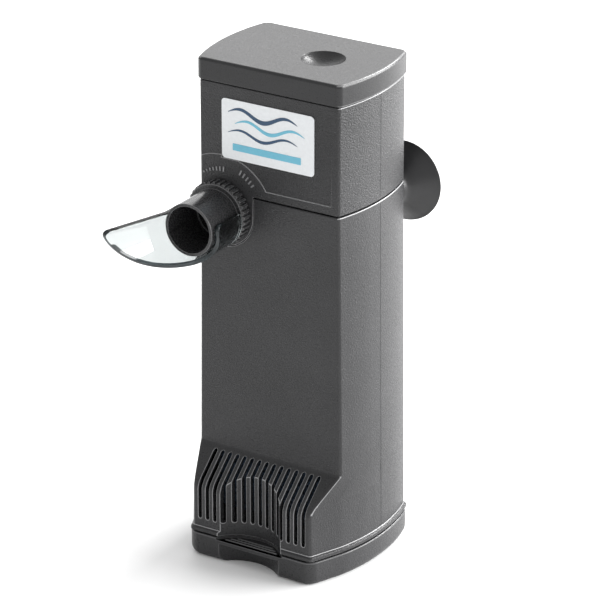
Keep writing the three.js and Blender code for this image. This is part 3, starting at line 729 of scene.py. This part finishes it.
def head_shell():
    boss_r, boss_low_z, boss_back_y = 13.5, 117, -13
    skirt_outside, skirt_inside, skirt_low_z = -2.35, -3.85, 139.8
    well_r, well_bore_r, tip_r, tip_bore_r = 9.6, 8.2, 5, 2.8
    port_r, port_back_y, duct_r = 9.9, -16.9, 8.6
    rounded = quarter_round(TOP_BREAK)
    head = loft("head_shell_fine", [
        *[body_level(HEAD_Z + TOP_BREAK - rise, -grow) for rise, grow in reversed(rounded)],
        *[body_level(HEAD_TOP_Z - TOP_BREAK + rise, -grow) for rise, grow in rounded],
    ])
    cut(head, loft("cavity", [body_level(147.6, -2.2, 1.2), body_level(HEAD_TOP_Z + 1, -2.2, 1.2)]))
    boss = outlet_block(boss_r, FRONT_Y - 1, boss_back_y)
    keep(boss, loft("limit", [body_level(boss_low_z, 0), body_level(HEAD_Z + 1, 0)]))
    cut(boss, rod(ROTOR_X, ROTOR_Y, HOUSING_R + 0.3, boss_low_z, HEAD_Z, 96))
    skirt = loft("skirt", [
        body_level(skirt_low_z, skirt_outside, 1), body_level(HEAD_Z + 0.5, skirt_outside, 1)])
    cut(skirt, loft("skirt_in", [body_level(139, skirt_inside, 1), body_level(HEAD_Z + 1, skirt_inside, 1)]))
    cut(skirt, box(-40, -5, -40, 8.5, 130, HEAD_Z))
    well = rod(ROTOR_X, ROTOR_Y, well_r, HEAD_Z + 0.5, 164.8)
    add(well, rod(ROTOR_X, ROTOR_Y, tip_r, 164, 168, 64))
    add(head, boss)
    add(head, skirt)
    add(head, well)
    cut(head, rod(ROTOR_X, ROTOR_Y, well_bore_r, HEAD_Z - 1, 163),
        rod(ROTOR_X, ROTOR_Y, tip_bore_r, 162, 166, 48))
    cut(head, bar(OUTLET_X, OUTLET_Z, port_r, FRONT_Y - 3, port_back_y))
    cut(head, bar(OUTLET_X, OUTLET_Z, duct_r, -17, -12))
    cut(head, bar(GLAND_X, GLAND_Z, GLAND_R, 18, 30, 64))
    cut(head, panel_recess())
    add(head, quadrants(QUADRANT_R, port_back_y, -15.7))
    # the rounded edges and the side top edges take EDGE: a painted highlight
    round_edges(head, 0.12, 2, highlight_edges=True)
    mark_highlight_faces(head, side_top_break(HEAD_TOP_Z))
    place(head, "pump_head", HEAD, "body_plastic", "head_shell", edge=EDGE)
    parting_line("pump_head", HEAD, HEAD_Z + 1.0, HEAD_TOP_Z - 1.0)


def top_cap():
    def level(z, grow, radius=LID_CORNER):
        return (z, FRONT_Y - grow, BACK_Y + grow, grow, radius)

    fillet = 1.2
    crown = [level(TOP_Z - fillet + rise, 0.78 - grow) for rise, grow in quarter_round(fillet, 8)]
    cap = loft("top_cap_fine", [level(LID_Z, 0.55), level(LID_Z + 0.3, 0.8), *crown])
    add(cap, loft("plug", [level(183, -2.6, 1), level(LID_Z + 0.5, -2.6, 1)]))
    cut(cap, loft("pocket", [level(182, -4.2, 1), level(192.6, -4.2, 1)]))
    radius, depth = DIMPLE_R, DIMPLE_DEPTH
    add(cap, rod(DIMPLE_X, DIMPLE_Y, radius + 1.6, TOP_Z - depth - WALL, 194.5))
    bowl = [(0, TOP_Z - depth)]
    for t in range(1, 15):
        a = t / 14 * math.pi / 2
        bowl.append((radius * math.sin(a), TOP_Z - depth * math.cos(a) ** 1.5))
    bowl += [(radius + 0.4, TOP_Z + 0.35), (radius + 0.4, TOP_Z + 2), (0, TOP_Z + 2)]
    cut(cap, spin("dish", bowl, 128, along_z(DIMPLE_X, DIMPLE_Y)))
    # the rounded edges and the side fillets take LID_EDGE, a painted highlight; the lower rim's front and
    # back and the middle of the top, with the dish, lose it
    round_edges(cap, 0.2, 2, 35, highlight_edges=True)
    side_x = 25
    mark_highlight_faces(cap, lambda c, n: (
        abs(c.x) > side_x and c.z > TOP_Z - fillet and 0.55 < n.z < 0.97 and abs(n.x) > 0.2))
    mark_highlight_faces(cap, lambda c, n: c.z < LID_Z + 1 and abs(n.x) < 0.5, 0)
    mark_highlight_faces(cap, lambda c, n: abs(c.x) < side_x and c.z > TOP_Z - DIMPLE_DEPTH - 0.5, 0)
    return place(cap, "pump_head", LID, "cap_plastic", "top_cap", edge=LID_EDGE)


# ---- label and embossed marks -------------------------------------------
INK_FRONT = 0.09
INK_BACK = 0.02


def wave_band(name, x0, x1, z, rise, width, turns):
    """A tapering wave stroke on the label."""
    steps = 64
    top, low = [], []
    for i in range(steps + 1):
        t = i / steps
        x = x0 + (x1 - x0) * t
        middle = z + rise * math.sin(turns * 2 * math.pi * t)
        half = width / 2 * math.sin(math.pi * min(1, max(0.02, t))) ** 0.6
        top.append((x, middle + half))
        low.append((x, middle - half))
    return ink(name, top + list(reversed(low)))


def ink(name, points):
    """A flat printed shape on the label's face."""
    return prism(name, points, FRONT_Y - INK_FRONT, FRONT_Y - INK_BACK)


def label():
    sheet = prism("front_label_sheet", rounded_rect(*LABEL_BOX, LABEL_CORNER), FRONT_Y, FRONT_Y + LABEL_THICK)
    round_edges(sheet, 0.06, 2, 60)
    place(sheet, "pump_head", PAPER, "label", "front_label")
    strokes = [
        (wave_band("label_wave_high", -17.5, 12.5, 177.3, 1.7, 1.7, 1.5), NAVY),
        (wave_band("label_wave_mid", -14.5, 15.5, 173.2, 1.6, 1.4, 1.5), TEAL),
        (wave_band("label_wave_low", -17.5, 12.5, 169.4, 1.4, 1.2, 1.5), NAVY),
        (ink("label_bar", rounded_rect(-15.6, 13.9, 162.6, 165.3, 0.3)), TEAL),
    ]
    for piece, material in strokes:
        place(piece, "pump_head", material, "label")


def flow_marks():
    """Raised ticks beside the flow ring, short for less and long for more; their lighter colour is a painted
    highlight.
    """
    bm = bmesh.new()
    y0, y1 = FRONT_Y - 0.28, FRONT_Y + 0.1
    rows = [(119 - 5.3 * k, 15.8, 16.6 + 0.2 * k) for k in range(7)]
    rows += [(64 - 5.2 * k, 17.6, 19.8 - 0.15 * k) for k in range(5)]
    for degrees, r0, r1 in rows:
        a = math.radians(degrees)
        side = Vector((-math.sin(a), 0, math.cos(a))) * 0.28
        out = Vector((math.cos(a), 0, math.sin(a)))
        centre = Vector((OUTLET_X, 0, OUTLET_Z))
        corners = [centre + out * r0 - side, centre + out * r1 - side,
                   centre + out * r1 + side, centre + out * r0 + side]
        bridge(bm, [(c.x, y0, c.z) for c in corners], [(c.x, y1, c.z) for c in corners])
    marks = from_bmesh("flow_marks", bm)
    round_edges(marks, 0.08, 2, 60)
    place(marks, "pump_head", MARK, "body_plastic")


# ---- outlet -------------------------------------------------------------
def flow_tube():
    tooth = ((0.0, 0.8), (0.2, 0.25), (0.3, 0.0), (0.6, 0.0), (0.7, 0.25), (0.9, 0.8))
    points = []
    for i in range(RING_TEETH):
        for t, drop in tooth:
            a = (i + t) * 2 * math.pi / RING_TEETH
            r = RING_R - drop
            points.append((OUTLET_X + r * math.cos(a), OUTLET_Z + r * math.sin(a)))
    front, back, crest, chamfer = -27.4, FRONT_Y - 0.3, RING_R + 0.1, 0.9
    tube = keep(prism("flow_tube_fine", points, front, back), spin("ring_limit", [
        (0, front), (crest - chamfer, front), (crest, front + chamfer), (crest, back + 1), (0, back + 1),
    ], RING_TEETH * 5, along_y(OUTLET_X, OUTLET_Z)))
    add(tube, bar(OUTLET_X, OUTLET_Z, TUBE_OUT_R, MOUTH_Y, -24, 128))
    stub_r, stub_bore_r, stub_back_y = 9.6, 8.5, -17.2
    add(tube, bar(OUTLET_X, OUTLET_Z, stub_r, -25, stub_back_y))
    cut(tube, bar(OUTLET_X, OUTLET_Z, TUBE_IN_R, MOUTH_Y - 1, -26, 128))
    cut(tube, bar(OUTLET_X, OUTLET_Z, stub_bore_r, -27, -16))
    add(tube, quadrants(QUADRANT_R, -18.4, stub_back_y))
    # the rounded edges, among them the ring's tooth chamfers, take PUMP_EDGE: a painted highlight
    round_edges(tube, 0.14, 2, 35, highlight_edges=True)
    return place(tube, "flow_regulator", PUMP, "pump_plastic", "flow_tube", edge=PUMP_EDGE)


SPOUT_YAW = math.radians(17)
YAW = math.tan(SPOUT_YAW)
YAW_STRETCH = 1 / math.cos(SPOUT_YAW)
SPOUT_R = 11.4
SPOUT_HALF = 0.9
SPOUT_RIM = 0.4
SPOUT_BACK_Y = -27.7
LIP_X, LIP_Y, LIP_ALONG_X, LIP_CURVE, LIP_ALONG_Z = -40.8, -70.4, 0.596, 0.0073, -0.534
KEEL_Y, KEEL_SLOPE = -38.0, 0.117


def spout_point(angle, y):
    """The middle of the spout's wall: straight round the tube, then turned left."""
    c = SPOUT_R * math.cos(angle)
    straight = OUTLET_X + c
    turned = OUTLET_X + YAW_STRETCH * c + (y - MOUTH_Y) * YAW
    soft = max(0.5 - abs(straight - turned), 0.0)
    rise = math.sin(angle)
    keel = KEEL_SLOPE * max(0.0, KEEL_Y - y) * min(0.0, rise)
    return Vector((min(straight, turned) - soft * soft / 2.0, y, OUTLET_Z + SPOUT_R * rise + keel))


def spout_normal(angle, y):
    step = 0.01
    round_way = spout_point(angle + step, y) - spout_point(angle - step, y)
    along = spout_point(angle, y - step) - spout_point(angle, y + step)
    return round_way.cross(along).normalized()


def spout_lip(angle):
    """Where a line at this angle meets the slanting lip plane."""
    near, far = SPOUT_BACK_Y, -90.0
    for _ in range(30):
        y = (near + far) / 2
        p = spout_point(angle, y)
        over = p.x - LIP_X
        lip = LIP_Y + LIP_ALONG_X * over + LIP_CURVE * over * over + LIP_ALONG_Z * (p.z - OUTLET_Z)
        lip += SPOUT_RIM * math.hypot(1, LIP_ALONG_X, LIP_ALONG_Z)
        near, far = (near, y) if y < lip else (y, far)
    return near


def corner_trim(distance, radius):
    """How far a corner of this radius holds a line back from the edge."""
    short = max(radius - distance, 0.0)
    return radius - math.sqrt(radius * radius - short * short)


def spout():
    rim_turn = SPOUT_RIM / SPOUT_R
    left_corner, right_corner, back_corner = 2.0, 5.0, 0.8
    a0, a1 = math.radians(158) + rim_turn, math.radians(377) - rim_turn
    width = (a1 - a0) * SPOUT_R
    fine = [0, 0.05, 0.15, 0.3, 0.5, 0.75, 1.05, 1.4, 1.8, 2.3, 2.9, 3.6]
    count = 36
    middle = [3.6 + (width - 7.2) * i / count for i in range(1, count)]
    places = fine + middle + [width - d for d in reversed(fine)]
    rows = 26
    grid = []
    for d in places:
        a = a0 + d / SPOUT_R
        start = SPOUT_BACK_Y - SPOUT_RIM - corner_trim(min(d, width - d), back_corner)
        end = spout_lip(a) + corner_trim(d, left_corner) + corner_trim(width - d, right_corner)
        grid.append([(a, start + (end - start) * k / rows) for k in range(rows + 1)])
    bm = bmesh.new()

    def wall_vertex(p, side):
        return bm.verts.new(spout_point(*p) + spout_normal(*p) * SPOUT_HALF * side)

    def sheet(side):
        return [[wall_vertex(p, side) for p in line] for line in grid]

    outer, inner = sheet(1), sheet(-1)
    for verts in (outer, inner):
        for i in range(len(grid) - 1):
            for k in range(rows):
                face = bm.faces.new((verts[i][k], verts[i + 1][k], verts[i + 1][k + 1], verts[i][k + 1]))
                # the last row along the lower lip takes the painted dark lip
                lower = len(fine) < i < len(grid) - 2 * len(fine)
                face.material_index = 1 if k == rows - 1 and lower else 0
    last = len(grid) - 1
    loop = [(i, 0) for i in range(last)] + [(last, k) for k in range(rows)]
    loop += [(last - i, rows) for i in range(last)] + [(0, rows - k) for k in range(rows)]
    size = len(loop)
    strips = []
    for at, (i, k) in enumerate(loop):
        p = spout_point(*grid[i][k])
        n = spout_normal(*grid[i][k])
        before = spout_point(*grid[loop[at - 1][0]][loop[at - 1][1]])
        after_i, after_k = loop[(at + 1) % size]
        along = (spout_point(*grid[after_i][after_k]) - before).normalized()
        out = along.cross(n).normalized()
        inside = spout_point(*grid[min(max(i, 4), last - 4)][min(max(k, 3), rows - 3)])
        if out.dot(p - inside) < 0:
            out = -out
        arc = [math.pi / 2 * t / 4 for t in range(1, 5)]
        flat = SPOUT_HALF - SPOUT_RIM
        steps = [(flat + SPOUT_RIM * math.cos(a), out * SPOUT_RIM * math.sin(a)) for a in arc]
        ring = [p + n * rise + over for rise, over in steps]
        ring += [p - n * rise + over for rise, over in reversed(steps)]
        strips.append([outer[i][k]] + [bm.verts.new(q) for q in ring] + [inner[i][k]])
    for at in range(size):
        here, there = strips[at], strips[(at + 1) % size]
        # rim faces on the lip take the painted dark lip
        on_lip = loop[at][1] == rows and loop[(at + 1) % size][1] == rows
        for t in range(len(here) - 1):
            face = bm.faces.new((here[t], there[t], there[t + 1], here[t + 1]))
            face.material_index = 1 if on_lip else 0
    piece = from_bmesh("spout_fine", bm)
    piece.data.materials.append(None)
    piece.data.materials.append(None)
    return place(piece, "spout_arm", CLEAR, "clear_plastic", "spout", angle=60, edge=LIP)


# ---- holder -------------------------------------------------------------
def suction_cup(side):
    word = "right" if side > 0 else "left"
    profile = [
        # knob behind the bracket, and its neck
        (0, 24.3), (3.5, 24.3), (4.0, 24.5), (4.2, 24.9), (4.2, 25.6), (4.0, 26.0), (3.6, 26.2),
        (3.0, 26.25), (3.0, 28.9), (5.2, 28.9), (5.8, 29.15), (6.2, 29.7), (6.5, 30.5), (6.9, 31.5),
        # outer cone and rim
        (7.7, 32.6), (9.0, 33.8), (10.6, 35.2), (12.4, 36.7), (14.2, 38.2), (15.3, 39.0),
        (15.8, 39.35), (15.9, 39.7), (15.85, 39.95), (15.6, 40.0), (14.9, 40.0),
        # hollow of the cup
        (14.6, 39.9), (13.4, 38.95), (11.6, 37.6), (9.4, 36.5), (7.0, 35.7), (4.0, 35.2), (0, 35.0),
    ]
    cup = spin("suction_cup_" + word + "_fine", profile, 96, along_y(side * CUP_X, CUP_Z))
    place(cup, "holder", RUBBER, "rubber", "suction_cup_" + word, angle=70)


def refined(node, body, material, slot, width=0.2, angle=30, suffix="_fine"):
    """A smoothed, edge-rounded copy of a CAD node, standing for it."""
    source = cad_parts[node]
    mesh = source.data.copy()
    obj = make_object(node + suffix, mesh)
    obj.data.transform(Matrix.Scale(1 / MM, 4))
    bm = bmesh.new()
    bm.from_mesh(obj.data)
    bmesh.ops.remove_doubles(bm, verts=bm.verts, dist=0.002)
    bmesh.ops.dissolve_limit(bm, angle_limit=math.radians(1), verts=bm.verts, edges=bm.edges)
    bm.to_mesh(obj.data)
    bm.free()
    round_edges(obj, width, 2, angle)
    return place(obj, body, material, slot, node, angle=angle + 5)


# ---- foam ---------------------------------------------------------------
def foam():
    """Open-cell sponge: a dense block whose skin is pitted cell by cell."""
    low, high, corner, front_gap, gap = 14.5, 118.0, 3.0, 0.9, 2.4
    well_r, well_floor = 8.6, 44
    block = loft("foam_block", [
        (z, FRONT_Y + WALL + front_gap, BACK_Y - WALL - gap, -WALL - gap, corner) for z in (low, high)])
    cut(block, rod(ROTOR_X, ROTOR_Y, well_r, well_floor, 120, 64))
    mod = block.modifiers.new("cells", "REMESH")
    mod.mode = "VOXEL"
    mod.voxel_size = 1.0
    bake(block)
    for v in block.data.vertices:
        p = v.co * 0.55
        pit = noise.voronoi(p, distance_metric="DISTANCE")[0][0]
        v.co = v.co + v.normal * (-0.1 - 0.9 * max(0.0, 0.55 - pit))
    place(block, "base", FOAM, "foam", "foam_cartridge", angle=80)
    return block


# ---- camera, light, floor -----------------------------------------------
def camera():
    azimuth, elevation = math.radians(32.1548), math.radians(23.0873)
    distance, lens, sensor = 1.38244, 220.3, 36.0
    back = Vector((math.sin(azimuth) * math.cos(elevation), -math.cos(azimuth) * math.cos(elevation),
                   math.sin(elevation)))
    target = Vector((-0.000455, -0.000286, 0.098184))
    data = bpy.data.cameras.new("camera")
    data.lens = lens
    data.sensor_width = sensor
    data.clip_start = 0.05
    obj = make_object("camera", data)
    obj.location = target + back * distance
    obj.rotation_euler = (-back).to_track_quat("-Z", "Y").to_euler()
    bpy.context.scene.camera = obj


def softbox(name, azimuth, elevation, distance, size, radiance):
    """A square lamp aimed at the middle of the body, azimuth 0 in front, 90 on the right."""
    a, e = math.radians(azimuth), math.radians(elevation)
    away = Vector((math.sin(a) * math.cos(e), -math.cos(a) * math.cos(e), math.sin(e)))
    data = bpy.data.lights.new(name, "AREA")
    data.energy = radiance * math.pi * size * size
    data.size = size
    obj = make_object(name, data)
    obj.location = Vector((0, 0, 0.1)) + away * distance
    obj.rotation_euler = (-away).to_track_quat("-Z", "Y").to_euler()


def studio():
    world = bpy.data.worlds.new("studio")
    bpy.context.scene.world = world
    bpy.context.scene.view_settings.view_transform = "Standard"
    world.use_nodes = True
    background = world.node_tree.nodes["Background"]
    background.inputs["Color"].default_value = (1, 1, 1, 1)
    background.inputs["Strength"].default_value = 0.8
    softbox("softbox_back", 212, 30, 3.0, 2.4, 1.62)
    softbox("softbox_right", 116, 18, 3.3, 1.9, 13.5)
    softbox("softbox_edge", 143, 14, 2.8, 1.1, 20.0)
    softbox("softbox_rim", 170, 38, 3.0, 0.9, 26.0)
    bm = bmesh.new()
    bmesh.ops.create_grid(bm, x_segments=1, y_segments=1, size=4.0)
    floor = from_bmesh("floor", bm)
    n = Nodes("floor_pale")
    n.put("Base Color", n.ramp(n.noise(3.0), (0.9, 0.9, 0.9), (0.92, 0.92, 0.92)))
    n.put("Roughness", 0.8)
    n.put("Specular IOR Level", 0.1)
    floor.data.materials.append(n.material)


# ---- build --------------------------------------------------------------
camera()
studio()
container_shell()
base_cap()
head_shell()
top_cap()
label()
flow_marks()
flow_tube()
spout()
suction_cup(-1)
suction_cup(1)
foam()
refined("suction_bracket", "holder", PUMP, "pump_plastic", 0.3)
refined("cable_gland", "pump_head", RUBBER, "rubber", 0.25)
refined("pump_housing", "pump_head", PUMP, "pump_plastic", 0.2)
refined("pump_cover", "pump_head", PUMP, "pump_plastic", 0.2)
refined("impeller", "rotor", BOBBIN, "bobbin_plastic", 0.15)
refined("rotor_magnet", "rotor", FERRITE, "ferrite", 0.3)
refined("stator_core", "pump_head", STEEL, "steel", 0.1)
for hand in ("left", "right"):
    refined("coil_bobbin_" + hand, "pump_head", BOBBIN, "bobbin_plastic", 0.15)
    refined("coil_winding_" + hand, "pump_head", COPPER, "copper", 0.5)
refined("ceramic_shaft", "pump_head", CERAMIC, "ceramic", 0.15)
refined("shaft_bush_upper", "pump_head", RUBBER, "rubber", 0.12)
refined("shaft_bush_lower", "pump_head", RUBBER, "rubber", 0.12)
